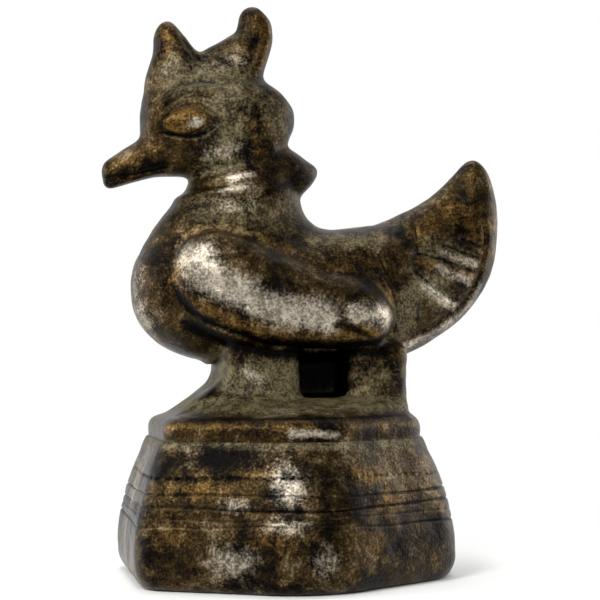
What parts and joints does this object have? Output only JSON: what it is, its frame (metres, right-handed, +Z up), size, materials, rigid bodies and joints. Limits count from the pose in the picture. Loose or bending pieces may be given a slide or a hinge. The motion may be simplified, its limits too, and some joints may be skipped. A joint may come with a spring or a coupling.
{
  "type": "bird-shaped scale weight",
  "caption": "Cast bronze goose scale weight with horned crest, folded wings and upturned tail, standing on a capped hexagonal plinth with incised lines.",
  "frame": {"origin": "centre of the plinth's flat underside", "axes": "+Z up, the bird looks along -X, its left side faces -Y"},
  "size_m": [0.0408, 0.0336, 0.0565],
  "materials": {
    "bronze": "old cast bronze, dark brown patina rubbed bright on the high places"
  },
  "bodies": {
    "root": {"plinth": "bronze", "plinth_cap": "bronze", "front_leg": "bronze", "rear_leg": "bronze", "leg_web": "bronze", "torso": "bronze", "left_wing": "bronze", "right_wing": "bronze", "tail": "bronze", "neck": "bronze", "nape_tuft": "bronze", "upper_collar": "bronze", "lower_collar": "bronze", "head": "bronze", "upper_beak": "bronze", "lower_beak": "bronze", "left_eye": "bronze", "right_eye": "bronze", "front_crest": "bronze", "rear_crest": "bronze"}
  },
  "joints": []
}
